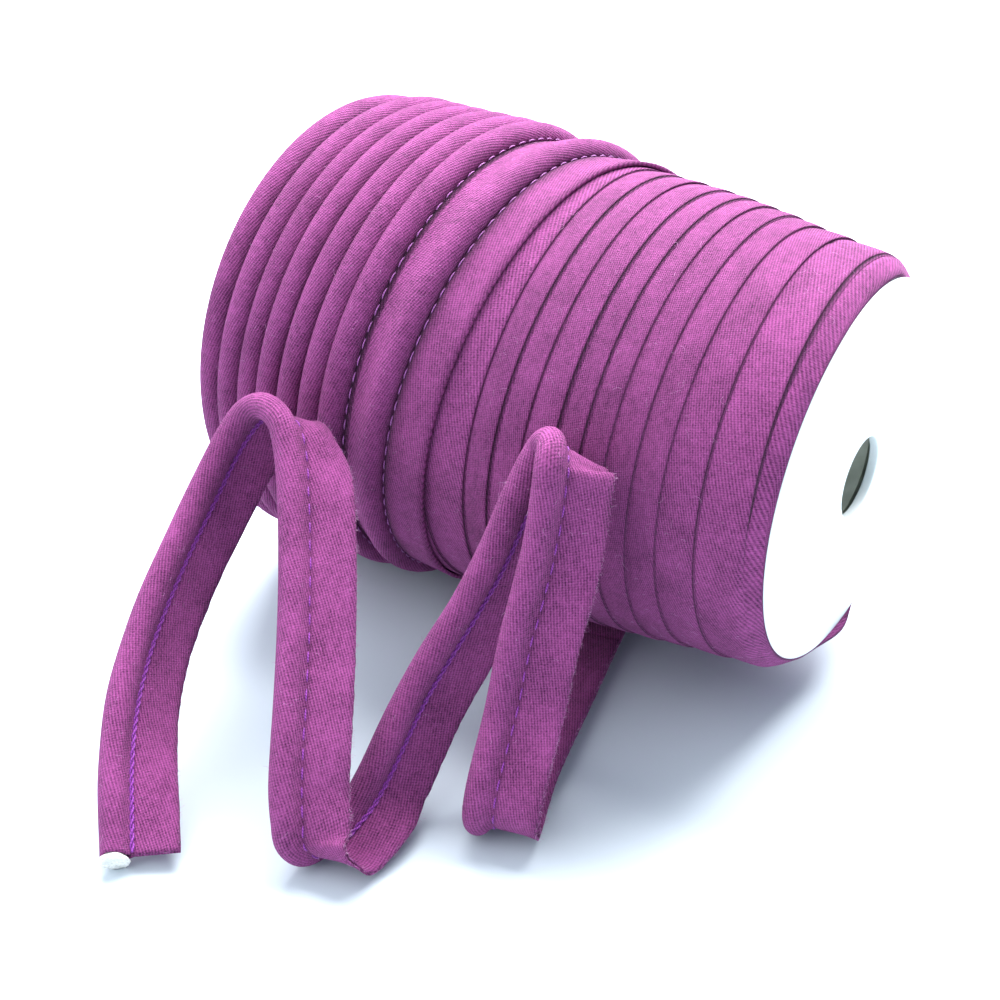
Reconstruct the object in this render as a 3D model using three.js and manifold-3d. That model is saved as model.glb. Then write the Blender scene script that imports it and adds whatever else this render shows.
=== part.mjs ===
// Roll of piping trim: cloth-covered cord wound in shingled turns on a white reel, with its loose end curled in front.
// Millimetres, +Z up. The roll's axis runs along X, the viewer's side is -Y, and the roll rests on z = 0.

import * as THREE from 'three';
import { mergeVertices } from 'three/addons/utils/BufferGeometryUtils.js';
import Module from 'manifold-3d';

const wasm = await Module();
wasm.setup();

// The piping: a strip of cloth folded round a filler cord and stitched beside it
const TAPE_WIDTH = 11.2;
const BEAD_RADIUS = 2.05;
const FLANGE_THICKNESS = 1.0;
const SLEEVE_WALL = 0.8;
const FLANGE_REACH = TAPE_WIDTH - BEAD_RADIUS;

// The gap that touching pieces keep
const GAP = 0.3;

// The reel
const DISC_RADIUS = 29.5;
const DISC_THICKNESS = 1.5;
const DISC_HOLE_RADIUS = 6.4;
const DISC_OUTER_FACE = 49.9;
const DISC_INNER_FACE = DISC_OUTER_FACE - DISC_THICKNESS;
const CORE_OUTER_RADIUS = 10;
const CORE_INNER_RADIUS = 8.2;

// The wound body. Its crowns are flattened a little where the roll rests.
const CROWN_RADIUS = 39.8;
const FLAT_DEPTH = 0.4;
const AXIS_HEIGHT = CROWN_RADIUS - FLAT_DEPTH;
const WOUND_FACE = DISC_INNER_FACE - GAP;
const RECESS_RADIUS = DISC_RADIUS + 0.7;
const ANGLE_STEPS = 48;

// Each bead of the top layer where it crosses the top of the roll: its centre, and the radius of its crown. The
// last row is where the tape heads as it leaves the roll underneath.
const BEAD_TURNS = [
  { x: -45.8, crown: 39.3 },
  { x: -40.0, crown: 39.8 },
  { x: -36.1, crown: 39.8 },
  { x: -32.1, crown: 39.8 },
  { x: -27.7, crown: 39.8 },
  { x: -23.0, crown: 39.8 },
  { x: -18.3, crown: 39.7 },
  { x: -10.0, crown: 38.9 },
  { x: 21.4, crown: 40.7 },
];
// Round the section of a bead: places beside its centre and below its crown
const BEAD_SECTION = [
  { across: -1.9, drop: 1.5 },
  { across: -1.1, drop: 0.27 },
  { across: 0, drop: 0 },
  { across: 1.1, drop: 0.27 },
  { across: 1.9, drop: 1.5 },
];
const FLANGE_DROP = 1.9;
const FREE_EDGE_ACROSS = 10.2;

// Free right edge of each flat strip of the layer below where it crosses the top, and the radius there
const STRIP_TURNS = [
  { x: -24.0, radius: 36.0 },
  { x: -14.0, radius: 36.1 },
  { x: -6.0, radius: 36.2 },
  { x: 2.7, radius: 36.3 },
  { x: 6.9, radius: 36.2 },
  { x: 11.5, radius: 36.0 },
  { x: 16.4, radius: 35.7 },
  { x: 20.7, radius: 35.3 },
  { x: 24.7, radius: 34.9 },
  { x: 29.1, radius: 34.3 },
  { x: 33.4, radius: 33.7 },
  { x: 38.8, radius: 33.0 },
  { x: 45.6, radius: 32.2 },
  { x: 54.0, radius: 31.4 },
];
const STRIP_STEP = 0.7;
const STRIP_STEP_RUN = 0.15;
const STRIPS_START = -16;
// The last strip's edge stands over the disc's rim in front and falls back behind it
const CLOTH_LIP_FACE = DISC_OUTER_FACE - GAP;
const CLOTH_LIP_RADIUS = 31.4;

// How far the turns lean: their tops stand to the right of their bottoms by twice this
const LEAN = [
  { x: -45.8, amount: 1.7 },
  { x: -40.0, amount: 2.7 },
  { x: -10.0, amount: 4.4 },
  { x: 45.3, amount: 1.1 },
];
const LEAN_FULL_RADIUS = 37;

// The loose end: the centre of its bead, and the way its flange points, from under the roll to the cut end
const TAIL_ROUTE = [
  { x: 10.0, y: -15.5, z: 2.15, wx: 0.96, wy: 0.27, wz: 0 },
  { x: 14.9, y: -33.0, z: 2.15, wx: 0.96, wy: 0.27, wz: 0 },
  { x: 19.4, y: -49.0, z: 2.15, wx: 0.96, wy: 0.28, wz: 0 },
  { x: 22.9, y: -57.9, z: 2.3, wx: 0.95, wy: 0.3, wz: 0 },
  { x: 24.6, y: -61.6, z: 3.7, wx: 0.95, wy: 0.3, wz: 0 },
  { x: 25.2, y: -62.7, z: 6.7, wx: 0.96, wy: 0.28, wz: -0.03 },
  { x: 25.1, y: -61.6, z: 10.4, wx: 0.97, wy: 0.25, wz: -0.06 },
  { x: 24.3, y: -55.4, z: 21.5, wx: 0.95, wy: 0.3, wz: -0.07 },
  { x: 24.3, y: -52.6, z: 30.1, wx: 0.9, wy: 0.4, wz: -0.14 },
  { x: 24.7, y: -48.3, z: 41.1, wx: 0.82, wy: 0.52, wz: -0.26 },
  { x: 24.6, y: -45.6, z: 49.9, wx: 0.71, wy: 0.59, wz: -0.38 },
  { x: 24.2, y: -44.2, z: 54.0, wx: 0.64, wy: 0.58, wz: -0.51 },
  { x: 23.4, y: -42.6, z: 55.1, wx: 0.58, wy: 0.57, wz: -0.58 },
  { x: 22.0, y: -40.8, z: 55.0, wx: 0.63, wy: 0.52, wz: -0.58 },
  { x: 20.4, y: -40.1, z: 53.5, wx: 0.64, wy: 0.5, wz: -0.58 },
  { x: 19.5, y: -41.0, z: 51.2, wx: 0.62, wy: 0.51, wz: -0.6 },
  { x: 18.2, y: -43.7, z: 45.8, wx: 0.61, wy: 0.55, wz: -0.57 },
  { x: 16.3, y: -47.2, z: 37.1, wx: 0.52, wy: 0.62, wz: -0.59 },
  { x: 14.4, y: -50.1, z: 30.9, wx: 0.5, wy: 0.62, wz: -0.6 },
  { x: 10.6, y: -58.4, z: 18.4, wx: 0.6, wy: 0.57, wz: -0.55 },
  { x: 9.6, y: -66.5, z: 8.8, wx: 0.65, wy: 0.57, wz: -0.51 },
  { x: 9.0, y: -71.7, z: 4.4, wx: 0.97, wy: 0.05, wz: -0.23 },
  { x: 8.3, y: -76.7, z: 2.5, wx: 0.91, wy: 0.4, wz: 0.12 },
  { x: 7.8, y: -80.0, z: 3.2, wx: 0.94, wy: 0.27, wz: 0.22 },
  { x: 6.9, y: -81.4, z: 5.6, wx: 0.94, wy: 0.32, wz: 0.13 },
  { x: 6.1, y: -80.9, z: 8.7, wx: 0.88, wy: 0.47, wz: 0.03 },
  { x: 4.6, y: -79.2, z: 12.4, wx: 0.82, wy: 0.57, wz: 0 },
  { x: 2.8, y: -76.4, z: 16.7, wx: 0.82, wy: 0.57, wz: 0 },
  { x: 0.2, y: -72.3, z: 21.5, wx: 0.82, wy: 0.57, wz: 0 },
  { x: -3.4, y: -67.0, z: 27.0, wx: 0.82, wy: 0.57, wz: 0 },
  { x: -8.5, y: -60.1, z: 34.6, wx: 0.82, wy: 0.57, wz: 0 },
  { x: -12.7, y: -55.0, z: 40.5, wx: 0.81, wy: 0.59, wz: -0.08 },
  { x: -16.4, y: -51.1, z: 45.3, wx: 0.76, wy: 0.53, wz: -0.38 },
  { x: -19.1, y: -49.0, z: 48.0, wx: 0.7, wy: 0.48, wz: -0.54 },
  { x: -21.9, y: -47.8, z: 48.8, wx: 0.63, wy: 0.54, wz: -0.55 },
  { x: -25.0, y: -47.1, z: 48.4, wx: 0.54, wy: 0.57, wz: -0.62 },
  { x: -27.5, y: -47.4, z: 46.9, wx: 0.5, wy: 0.59, wz: -0.63 },
  { x: -29.0, y: -48.6, z: 44.6, wx: 0.51, wy: 0.61, wz: -0.61 },
  { x: -30.0, y: -51.0, z: 41.4, wx: 0.49, wy: 0.63, wz: -0.6 },
  { x: -30.4, y: -56.7, z: 35.3, wx: 0.44, wy: 0.68, wz: -0.59 },
  { x: -29.5, y: -65.0, z: 28.6, wx: 0.36, wy: 0.71, wz: -0.6 },
  { x: -27.3, y: -74.6, z: 21.2, wx: 0.39, wy: 0.73, wz: -0.56 },
  { x: -24.0, y: -82.0, z: 15.5, wx: 0.47, wy: 0.76, wz: -0.45 },
  { x: -20.0, y: -87.8, z: 10.5, wx: 0.6, wy: 0.75, wz: -0.27 },
  { x: -16.3, y: -92.0, z: 5.9, wx: 0.72, wy: 0.69, wz: -0.1 },
  { x: -13.4, y: -95.1, z: 2.4, wx: 0.8, wy: 0.6, wz: 0.01 },
];
const TAIL_STEPS_PER_ROW = 2;
const LAST_RUN_LENGTH = 22;

const clothFinish = new THREE.MeshStandardMaterial({ color: 0x8e3f84, roughness: 0.85, metalness: 0 });
const cottonFinish = new THREE.MeshStandardMaterial({ color: 0xf1f0ea, roughness: 0.95, metalness: 0 });
const boardFinish = new THREE.MeshStandardMaterial({ color: 0xf4f5f6, roughness: 0.6, metalness: 0 });

// Straight-line reading of one column of a table, at a place that counts its rows
function rowValue(table, column, place) {
  const held = THREE.MathUtils.clamp(place, 0, table.length - 1);
  const row = Math.min(Math.floor(held), table.length - 2);
  return THREE.MathUtils.lerp(table[row][column], table[row + 1][column], held - row);
}

// How far a turn leans at x, before the angle counts
function leanAt(x) {
  const first = LEAN.findIndex((row) => row.x > x);
  if (first === 0) return LEAN[0].amount;
  if (first < 0) return LEAN[LEAN.length - 1].amount;
  const before = LEAN[first - 1];
  const after = LEAN[first];
  return THREE.MathUtils.mapLinear(x, before.x, after.x, before.amount, after.amount);
}

// A point of a wound surface. Turn 0 is underneath, and the turn rises in front, passes the top and falls behind.
function woundPoint(x, radius, turn) {
  const angle = 2 * Math.PI * turn;
  const outer = THREE.MathUtils.smoothstep(radius, RECESS_RADIUS, LEAN_FULL_RADIUS);
  const lean = leanAt(x) * outer * -Math.cos(angle);
  return new THREE.Vector3(x + lean, -radius * Math.sin(angle), AXIS_HEIGHT - radius * Math.cos(angle));
}

// A closed solid from rows of points in order of x, each going once round. Each row is a function of the angle step,
// and a row of a turn ends at the seam where a row of the next turn starts, which makes the turns a true helix.
function helixSolid(rows, leftPole, rightPole) {
  const corners = [];
  const keys = new Map();
  const cornerOf = (point) => {
    const key = point.toArray().map((value) => value.toFixed(4)).join(' ');
    if (!keys.has(key)) {
      keys.set(key, corners.length);
      corners.push(point);
    }
    return keys.get(key);
  };
  const at = (row, step) => cornerOf(rows[row](step));
  const faces = [];
  const face = (a, b, c) => {
    if (a !== b && b !== c && c !== a) faces.push(a, b, c);
  };
  for (let step = 0; step < ANGLE_STEPS; step += 1) {
    for (let row = 0; row + 1 < rows.length; row += 1) {
      const [a, b] = [at(row, step), at(row + 1, step)];
      const [c, d] = [at(row + 1, step + 1), at(row, step + 1)];
      face(a, b, c);
      face(a, c, d);
    }
    face(cornerOf(leftPole), at(0, step), at(0, step + 1));
    face(cornerOf(rightPole), at(rows.length - 1, step + 1), at(rows.length - 1, step));
  }
  const geometry = new THREE.BufferGeometry();
  geometry.setAttribute('position', new THREE.Float32BufferAttribute(corners.flatMap((p) => p.toArray()), 3));
  geometry.setIndex(faces);
  return geometry;
}

// A plain ring of the wound body, the same all the way round
function ring(x, radius) {
  return (step) => woundPoint(x, radius, (step % ANGLE_STEPS) / ANGLE_STEPS);
}

// The left part: the raised beads of the top layer, each laid on the flange of the turn before, wound to the right
function beadBody() {
  const turns = BEAD_TURNS.length - 1;
  const beadX = (turn) => rowValue(BEAD_TURNS, 'x', turn - 0.5);
  const crown = (turn) => rowValue(BEAD_TURNS, 'crown', turn - 0.5);
  const start = (step) => {
    const turn = (step % ANGLE_STEPS) / ANGLE_STEPS;
    return woundPoint(beadX(turn) - BEAD_RADIUS, crown(turn) - BEAD_RADIUS, turn);
  };
  const edge = (step, drop, inset) => {
    const turn = step % ANGLE_STEPS === 0 ? turns : turns - 1 + step / ANGLE_STEPS;
    return woundPoint(beadX(turn) + FREE_EDGE_ACROSS - inset, crown(turn) - drop, turn);
  };
  const end = (step) => edge(step, FLANGE_DROP, 0);
  const endFoot = (step) => edge(step, FLANGE_DROP + FLANGE_THICKNESS, GAP);
  const rows = [ring(-WOUND_FACE, RECESS_RADIUS), ring(-48.6, 32.6), ring(-47.6, 34.8), start];
  for (let turn = -1; turn <= turns; turn += 1) {
    for (const spot of BEAD_SECTION) {
      rows.push((step) => {
        const place = turn + step / ANGLE_STEPS;
        if (place < 0) return start(step);
        if (place > turns) return end(step);
        return woundPoint(beadX(place) + spot.across, crown(place) - spot.drop, place);
      });
    }
  }
  rows.push(end, endFoot);
  return [rows, new THREE.Vector3(-WOUND_FACE, 0, AXIS_HEIGHT), new THREE.Vector3(STRIPS_START + 4, 0, AXIS_HEIGHT)];
}

// The right part: flat strips of the layer below, each with its free edge lying on the strip to its right
function stripBody() {
  const startRing = ring(STRIPS_START, rowValue(STRIP_TURNS, 'radius', 1));
  const lipRing = (radius) => (step) => {
    const turn = (step % ANGLE_STEPS) / ANGLE_STEPS;
    const forward = 0.5 + 0.5 * Math.sin(2 * Math.PI * turn);
    return woundPoint(THREE.MathUtils.lerp(WOUND_FACE + GAP, CLOTH_LIP_FACE, forward), radius, turn);
  };
  const lip = lipRing(CLOTH_LIP_RADIUS);
  const rows = [startRing];
  for (let strip = 0; strip < STRIP_TURNS.length; strip += 1) {
    for (const foot of [0, 1]) {
      rows.push((step) => {
        const turn = step / ANGLE_STEPS;
        const place = strip - (turn - 0.5);
        const x = rowValue(STRIP_TURNS, 'x', place) + foot * STRIP_STEP_RUN;
        if (x < STRIPS_START + 1) return startRing(step);
        if (x > WOUND_FACE - 1) return lip(step);
        return woundPoint(x, rowValue(STRIP_TURNS, 'radius', place) - foot * STRIP_STEP, turn);
      });
    }
  }
  rows.push(lip, lipRing(RECESS_RADIUS), ring(WOUND_FACE, RECESS_RADIUS));
  return [rows, new THREE.Vector3(STRIPS_START, 0, AXIS_HEIGHT), new THREE.Vector3(WOUND_FACE, 0, AXIS_HEIGHT)];
}

// The route of the loose end, with frames that hold the flange the way each row of the table points it
class TapeRoute extends THREE.CatmullRomCurve3 {
  constructor(rows) {
    super(rows.map((row) => new THREE.Vector3(row.x, row.y, row.z)), false, 'centripetal');
    this.across = new THREE.CatmullRomCurve3(rows.map((row) => new THREE.Vector3(row.wx, row.wy, row.wz)));
  }

  getSpacedPoints(steps) {
    return this.getPoints(steps);
  }

  computeFrenetFrames(steps) {
    const frames = { tangents: [], normals: [], binormals: [] };
    for (let step = 0; step <= steps; step += 1) {
      const tangent = this.getTangent(step / steps);
      const flange = this.across.getPoint(step / steps);
      flange.addScaledVector(tangent, -flange.dot(tangent)).normalize();
      frames.tangents.push(tangent);
      frames.normals.push(flange);
      frames.binormals.push(new THREE.Vector3().crossVectors(tangent, flange));
    }
    return frames;
  }
}

// Points of a circle, or of the part of one that starts and ends at the given angles
function arcPoints(radius, from, to, sides) {
  const points = [];
  for (let side = 0; side <= sides; side += 1) {
    const angle = THREE.MathUtils.lerp(from, to, side / sides);
    points.push(new THREE.Vector2(radius * Math.cos(angle), radius * Math.sin(angle)));
  }
  return points;
}

// The piping cut across: the round bead and the flat flange beside it
function tapeSection() {
  const half = FLANGE_THICKNESS / 2;
  const root = Math.asin(half / BEAD_RADIUS);
  const outline = arcPoints(BEAD_RADIUS, root, 2 * Math.PI - root, 9);
  outline.push(new THREE.Vector2(FLANGE_REACH, -half), new THREE.Vector2(FLANGE_REACH, half));
  return new THREE.Shape(outline);
}

// An 8-sided cord or bore of the given radius
function cordSection(radius) {
  return arcPoints(radius, 0, 2 * Math.PI, 8).slice(0, -1);
}

// Moves between three.js meshes and solids that can be joined and cut
function toSolid(geometry) {
  const bare = geometry.clone();
  bare.deleteAttribute('normal');
  bare.deleteAttribute('uv');
  const merged = mergeVertices(bare, 1e-4);
  const vertProperties = new Float32Array(merged.attributes.position.array);
  const triVerts = new Uint32Array(merged.index.array);
  return new wasm.Manifold(new wasm.Mesh({ numProp: 3, vertProperties, triVerts }));
}

function toGeometry(solid) {
  const mesh = solid.getMesh();
  const geometry = new THREE.BufferGeometry();
  geometry.setAttribute('position', new THREE.Float32BufferAttribute(mesh.vertProperties, 3));
  geometry.setIndex(Array.from(mesh.triVerts));
  return geometry;
}

// A cylinder along X between two places
function rod(radius, from, to, sides) {
  const geometry = new THREE.CylinderGeometry(radius, radius, to - from, sides);
  geometry.rotateZ(Math.PI / 2);
  geometry.translate((from + to) / 2, 0, AXIS_HEIGHT);
  return geometry;
}

// The last stretch of the top layer's tape, straight under the roll, on which the roll partly rests
function lastRun() {
  const start = TAIL_ROUTE[0];
  const flange = new THREE.Vector3(start.wx, start.wy, start.wz).normalize();
  const along = new THREE.Vector3(0, 0, 1).cross(flange).negate();
  const tip = new THREE.Vector3(start.x, start.y, start.z - FLAT_DEPTH).addScaledVector(along, -GAP);
  const geometry = new THREE.ExtrudeGeometry(tapeSection(), { depth: LAST_RUN_LENGTH, bevelEnabled: false });
  const up = new THREE.Vector3().crossVectors(along, flange);
  geometry.applyMatrix4(new THREE.Matrix4().makeBasis(flange, up, along));
  const back = tip.addScaledVector(along, -LAST_RUN_LENGTH);
  geometry.translate(back.x, back.y, back.z);
  return geometry;
}

// The winding is one solid of its wound form: both parts, the last run, and cuts for the core and the floor
function winding() {
  const [beadRows, beadLeft, beadRight] = beadBody();
  const [stripRows, stripLeft, stripRight] = stripBody();
  const beads = toSolid(helixSolid(beadRows, beadLeft, beadRight));
  const strips = toSolid(helixSolid(stripRows, stripLeft, stripRight));
  const bore = toSolid(rod(CORE_OUTER_RADIUS + GAP, -2 * DISC_OUTER_FACE, 2 * DISC_OUTER_FACE, ANGLE_STEPS));
  const floorBox = new THREE.BoxGeometry(4 * DISC_OUTER_FACE, 4 * CROWN_RADIUS, CROWN_RADIUS);
  floorBox.translate(0, 0, -CROWN_RADIUS / 2);
  return toGeometry(beads.add(strips).add(toSolid(lastRun())).subtract(bore).subtract(toSolid(floorBox)));
}

// A flat disc with its centre hole, between two places along the axis
function endDisc(from, to) {
  const shape = new THREE.Shape(arcPoints(DISC_RADIUS, 0, 2 * Math.PI, ANGLE_STEPS).slice(0, -1));
  shape.holes.push(new THREE.Path(arcPoints(DISC_HOLE_RADIUS, 0, -2 * Math.PI, ANGLE_STEPS / 2).slice(0, -1)));
  const geometry = new THREE.ExtrudeGeometry(shape, { depth: to - from, bevelEnabled: false });
  geometry.rotateY(Math.PI / 2);
  geometry.translate(from, 0, AXIS_HEIGHT);
  return geometry;
}

// The tube that the piping is wound on, with its open bore
function coreTube() {
  const half = DISC_INNER_FACE - GAP;
  const shape = new THREE.Shape(arcPoints(CORE_OUTER_RADIUS, 0, 2 * Math.PI, ANGLE_STEPS).slice(0, -1));
  shape.holes.push(new THREE.Path(arcPoints(CORE_INNER_RADIUS, 0, -2 * Math.PI, ANGLE_STEPS / 2).slice(0, -1)));
  const geometry = new THREE.ExtrudeGeometry(shape, { depth: 2 * half, bevelEnabled: false });
  geometry.rotateY(Math.PI / 2);
  geometry.translate(-half, 0, AXIS_HEIGHT);
  return geometry;
}

// A section carried along the loose end's route
function alongTail(shape) {
  const steps = (TAIL_ROUTE.length - 1) * TAIL_STEPS_PER_ROW;
  return new THREE.ExtrudeGeometry(shape, { steps, extrudePath: new TapeRoute(TAIL_ROUTE) });
}

// The loose end's cloth: a sleeve round the filler cord, and the flange beside it
function tapeTail() {
  const shape = tapeSection();
  shape.holes.push(new THREE.Path(cordSection(BEAD_RADIUS - SLEEVE_WALL).reverse()));
  return alongTail(shape);
}

// The cord inside the loose end's bead, which shows white at the cut end
function fillerCord() {
  return alongTail(new THREE.Shape(cordSection(BEAD_RADIUS - SLEEVE_WALL - GAP)));
}

const roll = new THREE.Group();

function addPiece(name, geometry, finish) {
  const piece = new THREE.Mesh(geometry, finish.clone());
  piece.name = name;
  roll.add(piece);
}

addPiece('winding', winding(), clothFinish);
addPiece('tape_tail', tapeTail(), clothFinish);
addPiece('filler_cord', fillerCord(), cottonFinish);
addPiece('end_disc_near', endDisc(DISC_INNER_FACE, DISC_OUTER_FACE), boardFinish);
addPiece('end_disc_far', endDisc(-DISC_OUTER_FACE, -DISC_INNER_FACE), boardFinish);
addPiece('core_tube', coreTube(), boardFinish);

export default roll;
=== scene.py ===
"""Roll of piping trim: cloth-covered cord wound on a white reel, with its loose end curled in front.

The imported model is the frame. Metres, +Z up: the roll's axis runs along X, the viewer's side is -Y, and the roll
rests on z = 0. The cloth is worked out in millimetres and turned into metres as each mesh is made.
"""

import math
import random

import bpy
import numpy as np
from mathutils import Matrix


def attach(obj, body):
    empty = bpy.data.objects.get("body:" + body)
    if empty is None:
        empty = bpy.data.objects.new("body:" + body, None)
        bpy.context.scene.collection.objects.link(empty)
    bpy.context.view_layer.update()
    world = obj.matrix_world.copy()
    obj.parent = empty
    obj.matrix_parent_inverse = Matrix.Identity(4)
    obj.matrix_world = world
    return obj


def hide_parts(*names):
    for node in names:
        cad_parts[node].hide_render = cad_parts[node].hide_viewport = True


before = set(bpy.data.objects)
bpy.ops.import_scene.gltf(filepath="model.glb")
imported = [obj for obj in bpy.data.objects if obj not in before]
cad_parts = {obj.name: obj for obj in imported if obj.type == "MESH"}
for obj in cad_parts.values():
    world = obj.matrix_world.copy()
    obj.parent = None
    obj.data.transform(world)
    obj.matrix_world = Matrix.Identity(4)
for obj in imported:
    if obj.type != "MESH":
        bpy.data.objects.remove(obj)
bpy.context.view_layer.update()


# The camera stands in front of the roll, to the right of the loose end and above it, and looks down at both. Its
# place, angles and lens are fitted to the outlines of the roll and of its near disc.

CAMERA_PLACE = (0.11585, -0.18666, 0.15566)
CAMERA_ELEVATION = 32.39
CAMERA_AZIMUTH = 34.96
CAMERA_LENS = 54

bpy.ops.object.select_all(action="DESELECT")
bpy.ops.object.camera_add(
    location=CAMERA_PLACE,
    rotation=(math.radians(90 - CAMERA_ELEVATION), 0, math.radians(CAMERA_AZIMUTH)),
)
camera = bpy.context.object
camera.data.lens = CAMERA_LENS
camera.data.clip_start = 0.01
bpy.context.scene.camera = camera


# The loose end's cloth: a bias strip of magenta purple cotton twill, folded once round its filler cord, with both
# raw edges together at the free side of the flange. It stands in two tall curls, as a springy cord does that has
# been wound for long.

BEAD_RADIUS = 2.05
TAPE_WIDTH = 11.2
CLOTH_THICKNESS = 0.38
FLANGE_REACH = TAPE_WIDTH - BEAD_RADIUS
SEAM_ACROSS = 2.55
SEAM_PITCH = 2.65
SEAM_RISE = 0.24
ROUTE_STEPS = 640
# At the top of the outer curl the flange is gathered, and its free edge drawn in by this much
GATHERED, GATHERED_AT, GATHERED_FOR = 2.3, 241.8, 5.0
# The cut at the end leans this much towards this direction, and slides the rings of the last few millimetres
CUT_LEAN, CUT_FOR = 0.45, 4.0
CUT_TOWARDS = np.array([0.484, -0.692, 0.536])
# Where the two plies of the flange start to part, and the least height of cloth that lies on the table
PARTED_FROM = 6.0
CLOTH_LEAST_HEIGHT = 0.04

# The centre of the bead, and the way the flange points, from under the roll to the cut end
ROUTE = np.array([
    (10.0, -15.5, 2.15, 0.96, 0.27, 0.00),
    (14.9, -33.0, 2.15, 0.96, 0.27, 0.00),
    (19.4, -49.0, 2.15, 0.96, 0.28, 0.00),
    (22.9, -57.9, 2.3, 0.95, 0.30, 0.00),
    (24.6, -61.6, 3.7, 0.95, 0.30, 0.00),
    (25.2, -62.7, 6.7, 0.96, 0.28, -0.03),
    (25.1, -61.6, 10.4, 0.97, 0.25, -0.06),
    (24.3, -55.4, 21.5, 0.95, 0.30, -0.07),
    (24.3, -52.6, 30.1, 0.90, 0.40, -0.14),
    (24.7, -48.3, 41.1, 0.82, 0.52, -0.26),
    (24.6, -45.6, 49.9, 0.71, 0.59, -0.38),
    (24.2, -44.2, 54.0, 0.64, 0.58, -0.51),
    (23.4, -42.6, 55.1, 0.58, 0.57, -0.58),
    (22.0, -40.8, 55.0, 0.63, 0.52, -0.58),
    (20.4, -40.1, 53.5, 0.64, 0.50, -0.58),
    (19.5, -41.0, 51.2, 0.62, 0.51, -0.60),
    (18.2, -43.7, 45.8, 0.61, 0.55, -0.57),
    (16.3, -47.2, 37.1, 0.52, 0.62, -0.59),
    (14.4, -50.1, 30.9, 0.50, 0.62, -0.60),
    (10.6, -58.4, 18.4, 0.60, 0.57, -0.55),
    (9.6, -66.5, 8.8, 0.65, 0.57, -0.51),
    (9.0, -71.7, 4.4, 0.97, 0.05, -0.23),
    (8.3, -76.7, 2.5, 0.91, 0.40, 0.12),
    (7.8, -80.0, 3.2, 0.94, 0.27, 0.22),
    (6.9, -81.4, 5.6, 0.94, 0.32, 0.13),
    (6.1, -80.9, 8.7, 0.88, 0.47, 0.03),
    (4.6, -79.2, 12.4, 0.82, 0.57, 0.00),
    (2.8, -76.4, 16.7, 0.82, 0.57, 0.00),
    (0.2, -72.3, 21.5, 0.82, 0.57, 0.00),
    (-3.4, -67.0, 27.0, 0.82, 0.57, 0.00),
    (-8.5, -60.1, 34.6, 0.82, 0.57, 0.00),
    (-12.7, -55.0, 40.5, 0.81, 0.59, -0.08),
    (-16.4, -51.1, 45.3, 0.76, 0.53, -0.38),
    (-19.1, -49.0, 48.0, 0.70, 0.48, -0.54),
    (-21.9, -47.8, 48.8, 0.63, 0.54, -0.55),
    (-25.0, -47.1, 48.4, 0.54, 0.57, -0.62),
    (-27.5, -47.4, 46.9, 0.50, 0.59, -0.63),
    (-29.0, -48.6, 44.6, 0.51, 0.61, -0.61),
    (-30.0, -51.0, 41.4, 0.49, 0.63, -0.60),
    (-30.4, -56.7, 35.3, 0.44, 0.68, -0.59),
    (-29.5, -65.0, 28.6, 0.36, 0.71, -0.60),
    (-27.3, -74.6, 21.2, 0.39, 0.73, -0.56),
    (-24.0, -82.0, 15.5, 0.47, 0.76, -0.45),
    (-20.0, -87.8, 10.5, 0.60, 0.75, -0.27),
    (-16.3, -92.0, 5.9, 0.72, 0.69, -0.10),
    (-13.4, -95.1, 2.4, 0.80, 0.60, 0.01),
])


def spline(rows, place):
    """Points and directions of a centripetal curve through rows, at places that count the rows."""
    place = np.clip(np.asarray(place, float), 0, len(rows) - 1)
    row = np.minimum(place.astype(int), len(rows) - 2)
    t = (place - row)[:, None]
    held = np.vstack([2 * rows[0] - rows[1], rows, 2 * rows[-1] - rows[-2]])
    a, b, c, d = (held[row + i] for i in range(4))
    gaps = [np.sqrt(np.linalg.norm(q - p, axis=1))[:, None] + 1e-9 for p, q in ((a, b), (b, c), (c, d))]
    start = ((b - a) / gaps[0] - (c - a) / (gaps[0] + gaps[1]) + (c - b) / gaps[1]) * gaps[1]
    end = ((c - b) / gaps[1] - (d - b) / (gaps[1] + gaps[2]) + (d - c) / gaps[2]) * gaps[1]
    square = -3 * b + 3 * c - 2 * start - end
    cube = 2 * b - 2 * c + start + end
    return b + start * t + square * t**2 + cube * t**3, start + 2 * square * t + 3 * cube * t**2


def unit(vectors):
    """The same directions, each of length one."""
    return vectors / np.linalg.norm(vectors, axis=-1, keepdims=True)


def route_frames(steps):
    """Centre of the bead, its direction, the flange's direction, the upright of both, and the length so far."""
    place = np.linspace(0, len(ROUTE) - 1, steps + 1)
    centre, along = spline(ROUTE[:, :3], place)
    flange, _ = spline(ROUTE[:, 3:], place)
    along = unit(along)
    flange = unit(flange - np.sum(flange * along, axis=1, keepdims=True) * along)
    gone = np.concatenate([[0], np.cumsum(np.linalg.norm(np.diff(centre, axis=0), axis=1))])
    even = np.linspace(0, gone[-1], steps + 1)
    place = np.interp(even, gone, place)
    centre, along = spline(ROUTE[:, :3], place)
    flange, _ = spline(ROUTE[:, 3:], place)
    along = unit(along)
    flange = unit(flange - np.sum(flange * along, axis=1, keepdims=True) * along)
    return centre, along, flange, np.cross(along, flange), even


def cut_end(points, centre, along, length):
    """Slides the last rings along the piping, so that its end is cut a little obliquely, as scissors leave it."""
    plane = unit(along[-1] + CUT_LEAN * CUT_TOWARDS)
    offset = points - centre[:, None]
    slide = -(offset @ plane)[..., None] / (along[-1] @ plane) * along[-1]
    share = np.clip((length - length[-1] + CUT_FOR) / CUT_FOR, 0, 1)[:, None, None]
    return points + slide * share**1.5


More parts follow.
